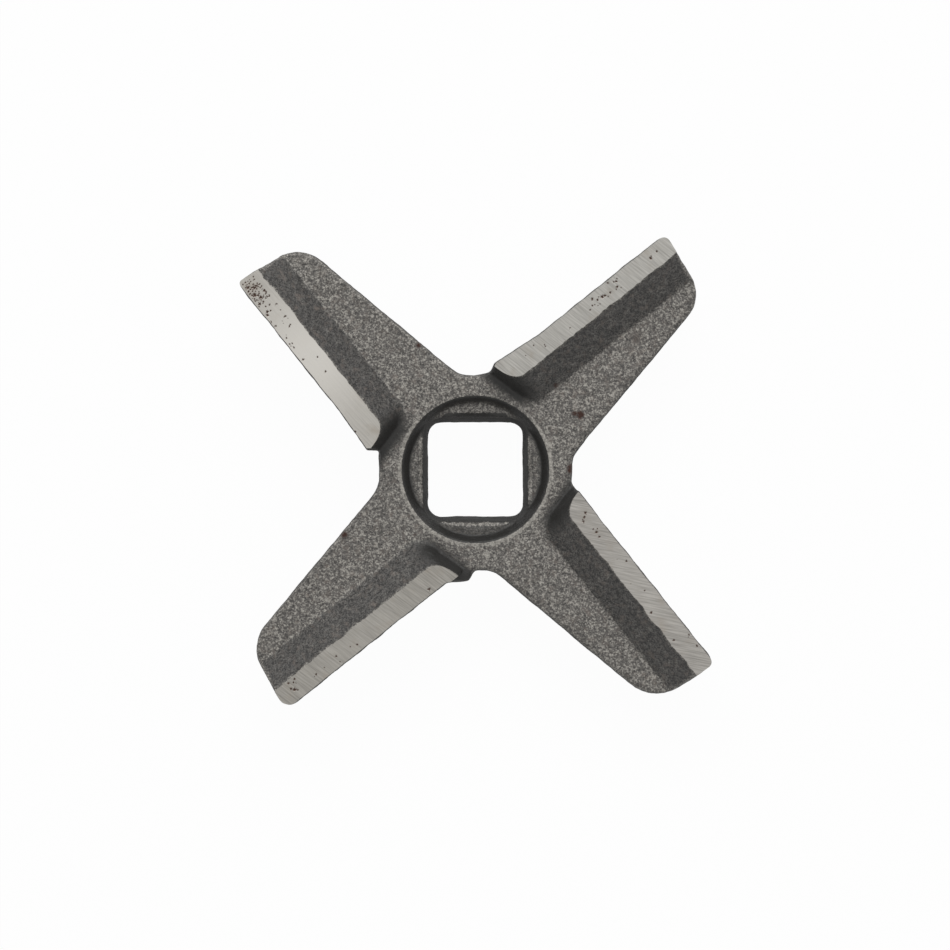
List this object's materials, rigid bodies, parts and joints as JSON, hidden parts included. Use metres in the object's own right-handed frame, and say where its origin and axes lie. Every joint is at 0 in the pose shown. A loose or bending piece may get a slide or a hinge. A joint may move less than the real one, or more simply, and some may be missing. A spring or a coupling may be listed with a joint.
{
  "type": "meat grinder knife",
  "caption": "Cast iron cross knife for a meat grinder, with tapered arms, raised ground cutting lands, a recessed hub and a drafted square drive hole.",
  "frame": {"origin": "middle of the arms at the back face of the boss", "axes": "+Z along the turning axis towards the cutting lands; +Y and +X through the flats of the hub, the first arm between them"},
  "size_m": [0.0692, 0.0685, 0.013],
  "materials": {
    "cast_iron": "grey sand-cast skin with fine grain and specks of rust, lands surface-ground bright"
  },
  "bodies": {
    "root": {"knife": "cast_iron"}
  },
  "joints": []
}
